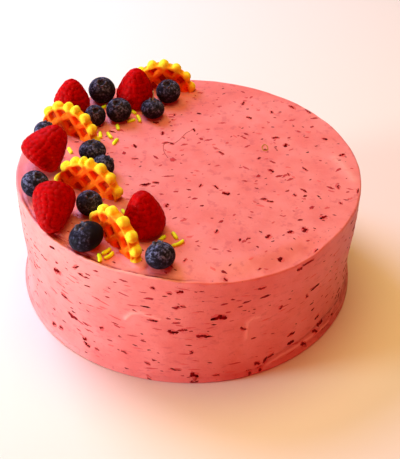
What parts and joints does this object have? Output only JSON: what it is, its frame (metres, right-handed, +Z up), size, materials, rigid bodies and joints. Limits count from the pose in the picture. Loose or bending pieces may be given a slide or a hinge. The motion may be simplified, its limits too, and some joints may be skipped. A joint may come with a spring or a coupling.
{
  "type": "berry cream cake",
  "caption": "Round uncut cake coated in berry buttercream, with raspberries, blueberries, half waffles and sprinkles along one side of its top.",
  "frame": {"origin": "middle of the flat underside", "axes": "+Z up out of the top; -Y is the front, and the toppings lie along the left of the top from the back to the front"},
  "size_m": [0.1813, 0.1812, 0.0896],
  "materials": {
    "berry_buttercream": "smooth pink buttercream with dark flecks of berry skin",
    "sprinkle_sugar": "satin yellow-green sugar",
    "raspberry_flesh": "moist deep red fruit",
    "blueberry_skin": "dark blue skin with a grey bloom",
    "waffle_crust": "baked orange crust with a yellow rim"
  },
  "bodies": {
    "root": {"cake": "berry_buttercream", "raspberry_back_left": "raspberry_flesh", "raspberry_back": "raspberry_flesh", "raspberry_left": "raspberry_flesh", "raspberry_front_left": "raspberry_flesh", "raspberry_front": "raspberry_flesh", "blueberry_01": "blueberry_skin", "blueberry_02": "blueberry_skin", "blueberry_03": "blueberry_skin", "blueberry_04": "blueberry_skin", "blueberry_05": "blueberry_skin", "blueberry_06": "blueberry_skin", "blueberry_07": "blueberry_skin", "blueberry_08": "blueberry_skin", "blueberry_09": "blueberry_skin", "blueberry_10": "blueberry_skin", "blueberry_11": "blueberry_skin", "blueberry_12": "blueberry_skin", "waffle_back": "waffle_crust", "waffle_back_left": "waffle_crust", "waffle_left": "waffle_crust", "waffle_front": "waffle_crust"}
  },
  "joints": []
}
